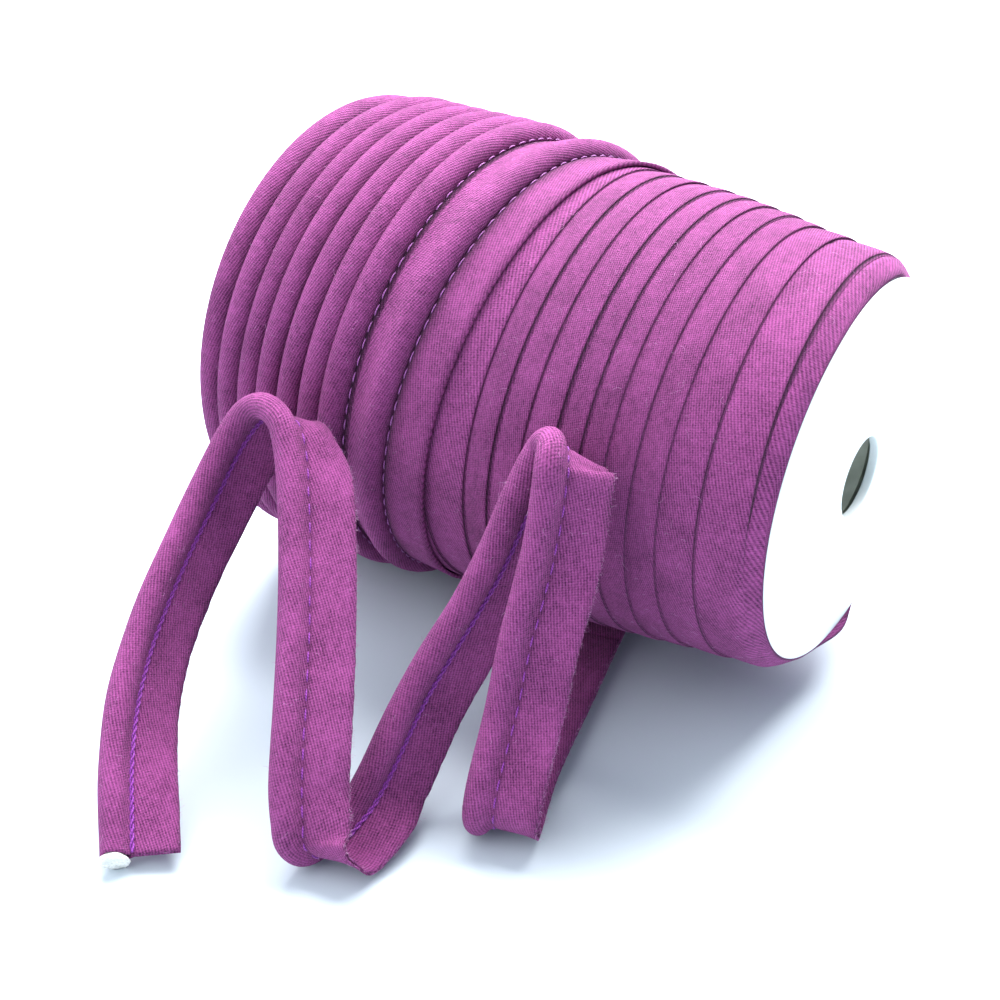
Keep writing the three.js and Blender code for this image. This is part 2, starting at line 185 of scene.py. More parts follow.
def wobble(place, seed, scale, waves=5):
    """A smooth random wave along place, of about the given height, whose waves are a few units long."""
    draw = random.Random(seed)
    total = np.zeros_like(np.asarray(place, float))
    for _ in range(waves):
        total += math.sqrt(2 / waves) * np.sin(draw.uniform(0.6, 3.2) * place + draw.uniform(0, 2 * math.pi))
    return scale * total


def swept_mesh(name, points, around, along, finish, shade=0.0):
    """A closed mesh from rings of points in millimetres, with the cloth's coordinates in its UV map, in cm, and the
    painted shade at each point in its shade attribute.
    """
    rings, ring_size = points.shape[:2]
    index = np.arange(rings * ring_size).reshape(rings, ring_size)
    after = np.roll(index, -1, axis=1)
    faces = np.stack([index[:-1], after[:-1], after[1:], index[1:]], axis=-1).reshape(-1, 4).tolist()
    faces += [index[0][::-1].tolist(), index[-1].tolist()]
    mesh = bpy.data.meshes.new(name)
    mesh.from_pydata((points.reshape(-1, 3) / 1000).tolist(), [], faces)
    piece = bpy.data.objects.new(name, mesh)
    bpy.context.scene.collection.objects.link(piece)
    across_cm = np.broadcast_to(np.asarray(around, float), (rings, ring_size)) / 10
    along_cm = np.broadcast_to(np.asarray(along, float)[:, None], (rings, ring_size)) / 10
    corner = np.zeros(len(mesh.loops), dtype=int)
    mesh.loops.foreach_get("vertex_index", corner)
    layer = mesh.uv_layers.new(name="cloth")
    layer.uv.foreach_set("vector", np.stack([along_cm.ravel()[corner], across_cm.ravel()[corner]], axis=1).ravel())
    # The shade attribute holds painted shade: how far the cloth's colour is darkened for the shade in grooves,
    # crevices and edges.
    tone = mesh.attributes.new("shade", "FLOAT", "POINT")
    tone.data.foreach_set("value", np.broadcast_to(shade, (rings, ring_size)).ravel())
    mesh.materials.append(finish)
    mesh.polygons.foreach_set("use_smooth", np.ones(len(mesh.polygons), dtype=bool))
    bpy.ops.object.select_all(action="DESELECT")
    piece.select_set(True)
    bpy.context.view_layer.objects.active = piece
    bpy.ops.object.mode_set(mode="EDIT")
    bpy.ops.mesh.select_all(action="SELECT")
    bpy.ops.mesh.remove_doubles(threshold=2e-6)
    bpy.ops.mesh.normals_make_consistent(inside=False)
    bpy.ops.object.mode_set(mode="OBJECT")
    return piece


class Signal:
    """A value that changes over a surface: Python arithmetic on it adds Math nodes."""

    def __init__(self, finish, socket):
        self.finish, self.socket = finish, socket

    def math(self, operation, *values):
        return self.finish.node("ShaderNodeMath", {"operation": operation}, dict(enumerate(values)))

    def __add__(self, other):
        return self.math("ADD", self, other)

    def __sub__(self, other):
        return self.math("SUBTRACT", self, other)

    def __mul__(self, other):
        return self.math("MULTIPLY", self, other)

    def __rsub__(self, other):
        return self.math("SUBTRACT", other, self)

    __radd__ = __add__
    __rmul__ = __mul__

    def wave(self):
        return self.math("SINE", self)

    def between(self, low, high):
        """0 below low, 1 above high, and a soft step from one to the other."""
        sockets = {"Value": self, "From Min": low, "From Max": high}
        return self.finish.node("ShaderNodeMapRange", {"interpolation_type": "SMOOTHSTEP"}, sockets)


class Finish:
    """A material in the making."""

    def __init__(self, name):
        self.material = bpy.data.materials.new(name)
        self.material.use_nodes = True
        self.material.node_tree.nodes.clear()

    def node(self, kind, settings=None, sockets=None, output=0):
        """Adds a node: its settings first, then the values or links of its sockets."""
        made = self.material.node_tree.nodes.new(kind)
        for key, value in (settings or {}).items():
            setattr(made, key, value)
        for key, value in (sockets or {}).items():
            if isinstance(value, Signal):
                self.material.node_tree.links.new(value.socket, made.inputs[key])
            else:
                made.inputs[key].default_value = value
        return Signal(self, made.outputs[output])

    def mix(self, factor, first, second):
        """A colour between two others."""
        return self.node("ShaderNodeMix", {"data_type": "RGBA"}, {0: factor, 6: first, 7: second}, output=2)

    def surface(self, sockets):
        """Ends the material with one shader."""
        shader = self.node("ShaderNodeBsdfPrincipled", None, sockets)
        ending = self.material.node_tree.nodes.new("ShaderNodeOutputMaterial")
        self.material.node_tree.links.new(shader.socket, ending.inputs["Surface"])
        return self.material


def twill_finish(name, light, dark, lint):
    """Dyed cotton twill cut on the bias: fine ridges close to the tape's length, crossed by the weft."""
    cloth = Finish(name)
    place = cloth.node("ShaderNodeUVMap", {"uv_map": "cloth"})
    along = cloth.node("ShaderNodeSeparateXYZ", None, {"Vector": place}, output=0) * 10
    across = cloth.node("ShaderNodeSeparateXYZ", None, {"Vector": place}, output=1) * 10
    soft = cloth.node("ShaderNodeTexNoise", None, {"Vector": place, "Scale": 9.0, "Detail": 3.0})
    yarn = cloth.node("ShaderNodeTexNoise", None, {"Vector": place, "Scale": 34.0, "Detail": 4.0, "Roughness": 0.7})
    patch = cloth.node("ShaderNodeTexNoise", None, {"Vector": place, "Scale": 1.3, "Detail": 4.0, "Roughness": 0.6})
    lean, ridge_pitch, weft_pitch = math.radians(17), 0.42, 0.35
    drift = soft * 0.9
    ridge = ((across * math.cos(lean) + along * math.sin(lean)) * (2 * math.pi / ridge_pitch) + drift).wave()
    weft = ((along * math.cos(lean) - across * math.sin(lean)) * (2 * math.pi / weft_pitch) + drift).wave()
    weave = ridge * 0.5 + weft * 0.24 + (yarn - 0.5) * 4.0
    shade = cloth.node("ShaderNodeAttribute", {"attribute_name": "shade"}, None, output=2)
    tone = weave * 0.38 + 0.54 + (patch - 0.5) * 0.7 + (soft - 0.5) * 0.5
    colour = cloth.mix(tone, dark, light)
    # Painted shade: the colour is darkened towards near black by the shade attribute, standing in for the shade of
    # grooves, crevices and edges.
    colour = cloth.mix(shade * 0.9, colour, (dark[0] * 0.2, dark[1] * 0.2, dark[2] * 0.25, 1))
    specks = cloth.node("ShaderNodeTexNoise", None, {"Vector": place, "Scale": 34.0, "Detail": 5.0, "Roughness": 0.7})
    colour = cloth.mix(specks.between(0.665, 0.72) * 0.5, colour, lint)
    bump = cloth.node("ShaderNodeBump", None, {"Height": weave, "Strength": 0.9, "Distance": 0.00013})
    return cloth.surface({
        "Base Color": colour,
        "Roughness": 0.88,
        "Specular IOR Level": 0.18,
        "Sheen Weight": 0.08,
        "Sheen Roughness": 0.45,
        "Sheen Tint": (0.95, 0.62, 0.88, 1),
        "Normal": bump,
    })


YARN_LIGHT = (0.46, 0.094, 0.345, 1)
YARN_DARK = (0.035, 0.003, 0.03, 1)
LINT = (0.70, 0.40, 0.64, 1)
purple_twill = twill_finish("purple_twill", YARN_LIGHT, YARN_DARK, LINT)


def folded_section():
    """The folded cloth cut across: its middle line along the flange and upright to it, and the length along it."""
    half = CLOTH_THICKNESS / 2
    root = math.radians(24)
    arc = np.linspace(root, 2 * math.pi - root, 27)
    reach = np.array([FLANGE_REACH, 8.0, 6.8, 5.5, 4.3, 3.4, 2.95, SEAM_ACROSS])
    rise = np.array([0.27, 0.26, 0.25, 0.26, 0.27, 0.27, 0.23, 0.21])
    middle = BEAD_RADIUS - half
    x = np.concatenate([reach, middle * np.cos(arc), reach[::-1]])
    y = np.concatenate([rise, middle * np.sin(arc), -rise[::-1]])
    line = np.stack([x, y], axis=1)
    gone = np.concatenate([[0], np.cumsum(np.linalg.norm(np.diff(line, axis=0), axis=1))])
    return line, gone


def tail_cloth():
    """The loose end's folded cloth as one closed sheet, with its pucker at each stitch and its uneven raw edges."""
    centre, along, flange, upright, length = route_frames(ROUTE_STEPS)
    line, gone = folded_section()
    half = CLOTH_THICKNESS / 2
    steps = len(length)
    x = np.tile(line[:, 0], (steps, 1))
    y = np.tile(line[:, 1], (steps, 1))
    side = np.sign(line[:, 1])
    # The two plies part a little towards the free side, and the flange bows
    near_edge = np.clip((x - PARTED_FROM) / (FLANGE_REACH - PARTED_FROM), 0, 1)
    spread = 0.16 + wobble(length / 9, 11, 0.09)[:, None]
    y += side * near_edge**2 * np.clip(spread, 0.02, 0.4)
    bow = wobble(length / 16, 12, 0.08)[:, None]
    y += near_edge * bow
    # The raw edges are uneven, and are drawn in where the outer curl gathers the flange
    raw = wobble(length / 0.9, 13, 0.03)[:, None] + wobble(length / 14, 14, 0.04)[:, None]
    raw = raw * np.where(side > 0, 1.0, -0.7)
    x += near_edge**3 * (raw - 0.1)
    x -= near_edge * GATHERED * np.exp(-(((length[:, None] - GATHERED_AT) / GATHERED_FOR) ** 2))
    # Each stitch pulls the plies together
    seam = np.exp(-(((x - SEAM_ACROSS) / 0.5) ** 2))
    pull = 0.5 + 0.5 * np.cos(2 * math.pi * length / SEAM_PITCH)[:, None]
    y -= side * seam * 0.10 * pull
    # The bead swells and narrows a little along its length
    round_bead = np.clip(1 - (x - 1.0) / 1.6, 0, 1)
    swell = 1 + (wobble(length / 7, 15, 0.012) - 0.004)[:, None] * round_bead
    x, y = x * np.where(round_bead > 0.5, swell, 1), y * np.where(round_bead > 0.5, swell, 1)
    # The cloth's two faces lie half its thickness to either side of the middle line
    step_x, step_y = np.gradient(x, axis=1), np.gradient(y, axis=1)
    size = np.hypot(step_x, step_y)
    out_x, out_y = step_y / size * half, -step_x / size * half
    section_x = np.concatenate([x + out_x, (x - out_x)[:, ::-1]], axis=1)
    section_y = np.concatenate([y + out_y, (y - out_y)[:, ::-1]], axis=1)
    across = np.concatenate([gone, gone[::-1]])
    points = centre[:, None] + flange[:, None] * section_x[..., None] + upright[:, None] * section_y[..., None]
    points = cut_end(points, centre, along, length)
    points[..., 2] = np.maximum(points[..., 2], CLOTH_LEAST_HEIGHT)
    # Painted shade along the seam, where the stitches pull the plies together.
    tail_seam_painted_shade = np.exp(-(((section_x - SEAM_ACROSS) / 0.35) ** 2)) * 0.35
    return points, across, length, tail_seam_painted_shade, centre, flange


tail_points, tail_across, tail_along, tail_painted_shade, tail_centre, tail_flange = tail_cloth()
loose_end = swept_mesh("loose_end_cloth", tail_points, tail_across, tail_along, purple_twill, tail_painted_shade)


# The filler: a soft white cotton cord of several strands, laid in the fold of the cloth. It shows only at the cut
# end, where it was snipped and stands a little proud.

FILLER_RADIUS = 1.62
STRANDS = 5
STRAND_LAY = 14.0
# The rings of the cut end: how far each stands out, and its share of the filler's radius
CUT_DOME = [
    (0.1, 1.06), (0.3, 1.26), (0.5, 1.36), (0.68, 1.36), (0.8, 1.2), (0.86, 0.9), (0.9, 0.5), (0.88, 0.15)
]


def filler_points():
    """The filler's rings, its surface lobed by the twisted strands, and a domed and uneven cut end."""
    centre, along, flange, upright, length = route_frames(ROUTE_STEPS // 2)
    angle = np.linspace(0, 2 * math.pi, 31)[:-1]
    twist = length[:, None] / STRAND_LAY * 2 * math.pi
    radius = FILLER_RADIUS * (0.95 + 0.05 * np.cos(STRANDS * (angle[None] - twist)))
    inner = centre[:, None] + radius[..., None] * (
        np.cos(angle)[None, :, None] * flange[:, None] + np.sin(angle)[None, :, None] * upright[:, None]
    )
    rings = [cut_end(inner, centre, along, length)]
    plane = unit(along[-1] + CUT_LEAN * CUT_TOWARDS)
    draw = random.Random(21)
    for push, share in CUT_DOME:
        ragged = np.array([draw.uniform(-0.08, 0.08) for _ in angle])
        spoke = (share * (radius[-1] + ragged))[:, None] * (
            np.cos(angle)[:, None] * flange[-1] + np.sin(angle)[:, None] * upright[-1]
        )
        slide = push + ragged - spoke @ plane / (along[-1] @ plane)
        ring = centre[-1] + spoke + slide[:, None] * along[-1]
        rings.append(ring[None])
    points = np.concatenate(rings)
    points[..., 2] = np.maximum(points[..., 2], 0.1)
    past_cut = length[-1] + 0.3 * np.arange(1, len(CUT_DOME) + 1)
    return points, FILLER_RADIUS * angle, np.concatenate([length, past_cut])


def cotton_finish():
    """Undyed cotton: nearly white, with fibres that run along the strands."""
    cotton = Finish("white_cotton")
    place = cotton.node("ShaderNodeTexCoord", None, None, output=3)
    fibre = cotton.node(
        "ShaderNodeTexNoise", None, {"Vector": place, "Scale": 2600.0, "Detail": 5.0, "Roughness": 0.75}
    )
    clump = cotton.node("ShaderNodeTexNoise", None, {"Vector": place, "Scale": 900.0, "Detail": 2.0})
    colour = cotton.mix(fibre.between(0.3, 0.62), (0.62, 0.60, 0.55, 1), (0.93, 0.93, 0.90, 1))
    colour = cotton.mix(clump.between(0.35, 0.5) * 0.6 + 0.4, (0.60, 0.61, 0.57, 1), colour)
    bump = cotton.node("ShaderNodeBump", None, {"Height": fibre * 0.6 + clump, "Strength": 0.8, "Distance": 0.00018})
    return cotton.surface({"Base Color": colour, "Roughness": 0.95, "Specular IOR Level": 0.1, "Normal": bump})


white_cotton = cotton_finish()
filler = swept_mesh("loose_end_filler", *filler_points(), white_cotton)


# The seam of the loose end: a machine stitch close to the bead. Its needle thread shows as short dashes on one
# side of the flange, and its looper thread as a twisted chain on the other.

NEEDLE_THREAD_RADIUS = 0.12
CHAIN_THREAD_RADIUS = 0.17
DASH_LENGTH, DASH_POINTS = 1.75, 7
CHAIN_SWING, CHAIN_LIFT, CHAIN_STEP = 0.21, 0.13, 0.22


def thread_finish(name, dark, light):
    """Spun polyester thread, dyed a little more violet than the cloth, with the twist of its plies."""
    thread = Finish(name)
    place = thread.node("ShaderNodeUVMap", {"uv_map": "cloth"})
    along = thread.node("ShaderNodeSeparateXYZ", None, {"Vector": place}, output=0) * 10
    around = thread.node("ShaderNodeSeparateXYZ", None, {"Vector": place}, output=1) * 10
    ply = (along * (2 * math.pi / 0.42) + around * (2 * math.pi / 0.5)).wave()
    colour = thread.mix(ply * 0.5 + 0.5, dark, light)
    bump = thread.node("ShaderNodeBump", None, {"Height": ply, "Strength": 0.5, "Distance": 0.00006})
    return thread.surface({
        "Base Color": colour,
        "Roughness": 0.55,
        "Specular IOR Level": 0.35,
        "Sheen Weight": 0.1,
        "Normal": bump,
    })


violet_thread = thread_finish("violet_thread", (0.16, 0.016, 0.24, 1), (0.38, 0.055, 0.46, 1))


def threads_mesh(name, lines, radius, finish, sides=7):
    """Closed tubes along lines of points, all in one mesh: each line is (points, tapered ends or not)."""
    vertices, faces, coordinates = [], [], []
    for line, tapered in lines:
        line = np.asarray(line, float)
        along = unit(np.gradient(line, axis=0))
        first = unit(np.cross(along, [0.31, 0.42, 0.85]))
        second = np.cross(along, first)
        share = np.ones(len(line))
        if tapered:
            share = np.sqrt(np.clip(1 - np.abs(np.linspace(-1, 1, len(line))) ** 4, 0.06, 1))
        base = len(vertices)
        gone = np.concatenate([[0], np.cumsum(np.linalg.norm(np.diff(line, axis=0), axis=1))])
        for row in range(len(line)):
            for turn in range(sides):
                angle = 2 * math.pi * turn / sides
                offset = math.cos(angle) * first[row] + math.sin(angle) * second[row]
                vertices.append(line[row] + radius * share[row] * offset)
                coordinates.append((gone[row] / 10, radius * angle / 10))
        for row in range(len(line) - 1):
            for turn in range(sides):
                after = (turn + 1) % sides
                faces.append([base + row * sides + turn, base + row * sides + after,
                              base + (row + 1) * sides + after, base + (row + 1) * sides + turn])
        faces.append([base + turn for turn in range(sides)][::-1])
        faces.append([base + (len(line) - 1) * sides + turn for turn in range(sides)])
    mesh = bpy.data.meshes.new(name)
    mesh.from_pydata((np.array(vertices) / 1000).tolist(), [], faces)
    corner = np.zeros(len(mesh.loops), dtype=int)
    mesh.loops.foreach_get("vertex_index", corner)
    mesh.uv_layers.new(name="cloth").uv.foreach_set("vector", np.array(coordinates)[corner].ravel())
    mesh.materials.append(finish)
    mesh.polygons.foreach_set("use_smooth", np.ones(len(mesh.polygons), dtype=bool))
    piece = bpy.data.objects.new(name, mesh)
    bpy.context.scene.collection.objects.link(piece)
    return piece


def along_route(length_places, across, upright_place):
    """Points beside the bead of the loose end, at given lengths along it."""
    centre, along, flange, upright, length = route_frames(ROUTE_STEPS)
    middle, aside, above = (
        np.stack([np.interp(length_places, length, values[:, i]) for i in range(3)], axis=1)
        for values in (centre, flange, upright)
    )
    across = np.broadcast_to(across, len(length_places))[:, None]
    height = np.broadcast_to(upright_place, len(length_places))[:, None]
    return middle + aside * across + above * height


def tail_stitches():
    """The dashes of the needle thread, each sunk into the cloth at both ends."""
    lines = []
    total = tail_along[-1]
    draw = random.Random(31)
    surface = -(SEAM_RISE + CLOTH_THICKNESS / 2)
    start = 0.6
    while start + 2.0 < total:
        dash = DASH_LENGTH + draw.uniform(-0.1, 0.1)
        places = np.linspace(start, start + dash, DASH_POINTS)
        lift = np.sin(np.linspace(0, math.pi, DASH_POINTS)) * 0.20 - 0.09
        lines.append((along_route(places, SEAM_ACROSS + draw.uniform(-0.06, 0.06), surface - lift), True))
        start += SEAM_PITCH
    return lines


def tail_chain():
    """The looper thread: two plies that wind round each other along the seam."""
    places = np.arange(0.5, tail_along[-1] - 0.2, CHAIN_STEP)
    surface = SEAM_RISE + CLOTH_THICKNESS / 2
    lines = []
    for ply in (0, math.pi):
        angle = 2 * math.pi * places / SEAM_PITCH + ply
        height = surface + 0.12 + CHAIN_LIFT * np.sin(angle)
        lines.append((along_route(places, SEAM_ACROSS + CHAIN_SWING * np.cos(angle), height), False))
    return lines


needle_thread = threads_mesh("loose_end_needle_thread", tail_stitches(), NEEDLE_THREAD_RADIUS, violet_thread)
looper_thread = threads_mesh("loose_end_looper_thread", tail_chain(), CHAIN_THREAD_RADIUS, violet_thread, sides=6)


# The loose end's fuzz: short stray cotton fibres, thick along the raw edges and thin over the rest of the cloth.
# Each is a thin tube along a curled line, and all of them are one mesh.

FIBRE_RADIUS = 0.016
EDGE_FIBRES, TAIL_FIBRES = 1500, 700


def fibre_finish():
    """Loose cotton fibres, coloured paler than the cloth as painted highlight for the light they catch."""
    fibre = Finish("stray_fibre")
    place = fibre.node("ShaderNodeUVMap", {"uv_map": "cloth"})
    faded = fibre.node("ShaderNodeTexNoise", None, {"Vector": place, "Scale": 3.0})
    colour = fibre.mix(faded.between(0.35, 0.65), (0.46, 0.17, 0.41, 1), (0.80, 0.56, 0.75, 1))
    return fibre.surface({"Base Color": colour, "Roughness": 0.9, "Specular IOR Level": 0.1})


stray_fibre = fibre_finish()


def fibre_lines(places, outward, reach, lift, curl, seed):
    """A curled line from each place: it lies along the cloth and rises from it by a share of its length."""
    draw = np.random.default_rng(seed)
    steps = np.linspace(0, 1, 6)
    lines = []
    for place, out in zip(places, unit(outward)):
        lay = unit(np.cross(out, draw.normal(size=3)))
        aside = np.cross(out, lay)
        length = reach * draw.uniform(0.4, 1.5)
        angle = curl * draw.uniform(-1, 1) * steps
        heading = np.cos(angle)[:, None] * lay + np.sin(angle)[:, None] * aside
        rise = lift * draw.uniform(0.1, 1.0) * length * steps
        lines.append((place + np.cumsum(heading, axis=0) * length / 6 + (rise - 0.01)[:, None] * out, False))
    return lines


def edge_fibres(count):
    """Where the fray of the loose end's raw edges starts, and which way it points."""
    draw = np.random.default_rng(71)
    rings = draw.integers(2, len(tail_points) - 2, count)
    size = tail_points.shape[1]
    columns = draw.choice([0, size // 2 - 1, size // 2, size - 1], count)
    return tail_points[rings, columns], tail_flange[rings] + 0.5 * draw.normal(size=(count, 3))


def cloth_fibres(piece, count, seed, keep):
    """Random places on a piece of cloth where the test keep holds, with the way out of the cloth."""
    size = len(piece.data.vertices)
    place, out = np.zeros(size * 3), np.zeros(size * 3)
    piece.data.vertices.foreach_get("co", place)
    piece.data.vertices.foreach_get("normal", out)
    place, out = place.reshape(-1, 3) * 1000, out.reshape(-1, 3)
    kept = np.flatnonzero(keep(place, out))
    chosen = np.random.default_rng(seed).choice(kept, count)
    return place[chosen], out[chosen]


def clear_of_table(place, out):
    """Whether a place on the loose end stands clear of the table."""
    return place[:, 2] > 2


tail_fuzz_lines = fibre_lines(*edge_fibres(EDGE_FIBRES), reach=0.38, lift=1.2, curl=1.0, seed=72)
tail_fuzz_lines += fibre_lines(
    *cloth_fibres(loose_end, TAIL_FIBRES, 73, clear_of_table), reach=1.0, lift=0.5, curl=2.5, seed=74
)
tail_fuzz = threads_mesh("loose_end_fuzz", tail_fuzz_lines, FIBRE_RADIUS, stray_fibre, sides=3)

middle_line = tail_centre + tail_flange * (FLANGE_REACH - BEAD_RADIUS) / 2
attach(loose_end, "root")
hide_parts("tape_tail")
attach(filler, "root")
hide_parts("filler_cord")
for thread_piece in (needle_thread, looper_thread, tail_fuzz):
    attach(thread_piece, "root")
middle_line[0] / 1000
(middle_line[::4] / 1000).tolist()


# The top layer of the roll: the same piping, wound to the right in eight turns. The first seven lie tight, each
# bead on the flange of the turn before, and the eighth lies alone, with its whole flange and raw edge to be seen.

AXIS_HEIGHT = 39.4
DOUBLED_CLOTH = 0.6
# The turns lean along the axis: how far at these places, nothing at the core and all of it at the outside
LEAN = np.array([(-45.8, 1.7), (-40.0, 2.7), (-10.0, 4.4), (45.3, 1.1)])
LEAN_FROM_RADIUS, LEAN_FULL_RADIUS = 30.2, 37.0
STEPS_PER_TURN = 176
# At its start under the roll the top layer sinks by this much
FIRST_TURN_SINKS = 3.2
# Each turn where its bead crosses the top of the roll: the bead's centre, its crown's radius and its half width
BEAD_TURNS = np.array([
    (-45.8, 38.9, 2.10),
    (-40.0, 39.8, 2.05),
    (-36.1, 39.8, 1.98),
    (-32.1, 39.8, 2.05),
    (-27.7, 39.8, 2.15),
    (-23.3, 39.8, 2.20),
    (-19.2, 39.7, 2.15),
    (-10.0, 38.9, 2.15),
    (21.4, 40.7, 2.10),
])
# How far below the crown the flange's outer face lies at these places beside the bead: where the next turn covers
# it, where it lies bare on the layer below, and where it stands off in front
FLANGE_ACROSS = np.array([2.55, 3.3, 4.6, 6.2, 7.8, 9.1])
FLANGE_TUCKED = np.array([2.9, 4.0, 5.0, 5.4, 5.8, 6.2])
FLANGE_SLOPED = np.array([2.6, 2.9, 3.7, 4.8, 5.4, 5.7])
FLANGE_BARE = np.array([2.5, 2.5, 2.5, 2.45, 2.4, 2.35])
FLANGE_PROUD = np.array([2.35, 2.3, 2.25, 2.1, 1.95, 1.85])
# Painted shade in the grooves: beside the stitches, and down the side where one bead meets the next
SEAM_SHADE = np.array([0.35, 0.75, 0.5])
CREVICE_SHADE = np.array([0.12, 0.3, 0.7, 0.95, 1.0])


def column(table, number, place):
    """A smooth reading of one column of a table, at places that count its rows."""
    rows = np.stack([np.arange(len(table)), table[:, number]], axis=1).astype(float)
    return spline(rows, place)[0][:, 1]


def wound_points(x, radius, turn):
    """Places on the roll. Turn 0 is underneath, and a turn rises in front, passes the top and falls behind."""
    angle = 2 * math.pi * turn
    share = np.clip((radius - LEAN_FROM_RADIUS) / (LEAN_FULL_RADIUS - LEAN_FROM_RADIUS), 0, 1)
    lean = np.interp(x, LEAN[:, 0], LEAN[:, 1]) * share**2 * (3 - 2 * share) * -np.cos(angle)
    height = AXIS_HEIGHT - radius * np.cos(angle)
    soft_floor = np.where(height < 0.25, 0.05 + 0.2 * np.exp((height - 0.25) / 0.2), height)
    return np.stack([x + lean, -radius * np.sin(angle), soft_floor], axis=-1)


def soft_step(value, low, high):
    """0 below low, 1 above high, smooth between."""
    share = np.clip((value - low) / (high - low), 0, 1)
    return share * share * (3 - 2 * share)


def bead_line(place):
    """Where the bead's middle and its crown lie, with the slight unevenness of a wound cord."""
    middle = column(BEAD_TURNS, 0, place) + wobble(place * 5, 41, 0.06)
    crown = column(BEAD_TURNS, 1, place) + wobble(place * 4, 42, 0.05)
    return middle, crown - FIRST_TURN_SINKS * soft_step(-place, 0.45, 0.85)


def bead_turns():
    """The top layer's rings: the bead over the fold, the seam's groove, and the flange that dives or lies bare."""
    first, last = -0.85, 7.5
    place = np.linspace(first, last, int((last - first) * STEPS_PER_TURN) + 1)
    turn = place + 0.5
    bead_x, crown = bead_line(place)
    half_width = column(BEAD_TURNS, 2, place)
    # How much of each kind of flange there is at each place of the winding
    shallow = 1 - soft_step(place, 0.7, 1.1)
    tucked = (1 - soft_step(place, 5.05, 5.5)) * (1 - shallow)
    sloped = soft_step(place, 5.05, 5.5) * (1 - soft_step(place, 6.0, 6.25)) + shallow
    bare = soft_step(place, 6.0, 6.25) * (1 - soft_step(place, 6.45, 6.7))
    proud = soft_step(place, 6.45, 6.7) * (1 - 0.6 * soft_step(place, 7.2, 7.5))
    bare = bare + 0.6 * soft_step(place, 7.2, 7.5)
    flange = sum(share[:, None] * shape for share, shape in (
        (tucked, FLANGE_TUCKED), (sloped, FLANGE_SLOPED), (bare, FLANGE_BARE), (proud, FLANGE_PROUD)
    ))
    flange = flange + (FLANGE_ACROSS > 5) * wobble(place * 3, 43, 0.07)[:, None]
    # The bead's round, from the seam over the crown and under to the bead before it
    over = np.radians(np.linspace(-28, 180, 17))
    under = np.radians(np.linspace(195, 300, 8))
    angle = np.concatenate([over, under])
    bead_across = half_width[:, None] * np.cos(angle)
    bead_drop = BEAD_RADIUS * (1 - np.sin(angle)) + np.zeros_like(bead_across)
    wider = 1.2 * soft_step(place, 6.0, 6.5)[:, None] * (FLANGE_ACROSS - FLANGE_ACROSS[0]) / FLANGE_REACH
    flange_across = FLANGE_ACROSS + wider + (half_width - BEAD_RADIUS)[:, None]
    flange_across[:, -1] += wobble(place * 9, 44, 0.05)
    # The last bead's far side is stretched over the flange that it lies on, and shows no groove there
    skirt = (soft_step(place, 6.3, 6.5) * (1 - soft_step(place, 7.12, 7.3)))[:, None]
    reach = (bead_x - column(BEAD_TURNS, 0, place - 1) - 3.6)[:, None]
    sunk = (crown - column(BEAD_TURNS, 1, place - 1) + 2.38)[:, None]
    fall = soft_step(angle, math.pi / 2, math.pi)[None, :]
    past_top = np.clip((angle - math.pi / 2) / (math.pi / 2), 0, 1.2)[None, :]
    bead_across = bead_across + skirt * (past_top > 0) * (-past_top * reach - bead_across)
    bead_drop = bead_drop + skirt * (past_top > 0) * (fall * sunk + 0.5 * (past_top > 1) - bead_drop)
    across = np.concatenate([flange_across[:, ::-1], bead_across, flange_across], axis=1)
    drop = np.concatenate([flange[:, ::-1], bead_drop, flange + DOUBLED_CLOTH], axis=1)
    points = wound_points(bead_x[:, None] + across, crown[:, None] - drop, turn[:, None])
    girth = 2 * math.pi * AXIS_HEIGHT
    along = (place - first) * girth
    cloth_across = np.concatenate([
        10 + FLANGE_ACROSS[::-1], BEAD_RADIUS * (angle - angle[0]) + 6.0, 10 + FLANGE_ACROSS
    ])
    shade = np.zeros_like(across)
    # Painted shade in the seam's groove and in the crevice under each bead, kept off the last bead's stretched far
    # side
    shade[:, 4:7] = SEAM_SHADE
    shade[:, 19:24] = CREVICE_SHADE * (1 - 0.95 * skirt)
    return points, cloth_across, along, shade


top_data = bead_turns()
top_layer = swept_mesh("top_layer_piping", *top_data[:3], purple_twill, top_data[3])


# The layer below: its beads lie hidden to the left, and its flanges show as flat strips. Each strip's raw edges,
# two plies of cloth, lie on the strip to its right, down to the disc at the near end.

# Each strip where it crosses the top: its free edge, the radius there, and how far the lower ply stands out
STRIP_TURNS = np.array([
    (-24.0, 36.0, 0.2),
    (-14.0, 36.1, 0.2),
    (-6.0, 36.2, 0.2),
    (2.7, 36.3, 0.15),
    (6.9, 36.2, 0.65),
    (11.5, 36.0, 0.20),
    (16.4, 35.7, 0.65),
    (20.7, 35.3, 0.60),
    (24.7, 34.9, 0.15),
    (29.1, 34.3, 0.25),
    (33.4, 33.7, 0.15),
    (38.8, 33.0, 0.20),
    (45.6, 32.2, 0.75),
    (54.0, 31.4, 0.30),
    (62.0, 31.0, 0.30),
])
PLY = 0.21
# How far down the raw edges' points lie, from the upper ply to the lower, and how much painted shade each has, for
# the dark lines at the plies' steps
EDGE_DROPS = [-0.16, -PLY, -PLY - 0.06, -PLY - 0.18, -2 * PLY]
EDGE_SHADE = [0.6, 1.0, 0.0, 0.6, 1.0]
# How far the last strip reaches over the disc, and the small flap at the top: its size, turn and width in turns
LIP_FRONT, LIP_BACK = 49.75, 48.2
FLAP, FLAP_AT, FLAP_FOR = 1.5, 0.49, 0.03
# Where the cloth starts to slope to the disc's rim, the radius there, and the slope, in front and behind
RIM_FRONT, RIM_FRONT_RADIUS, RIM_FRONT_SLOPE = 46.4, 32.6, 0.84
RIM_BACK, RIM_BACK_RADIUS, RIM_BACK_SLOPE = 45.8, 32.2, 1.25
RIM_LEAST_RADIUS = 29.85


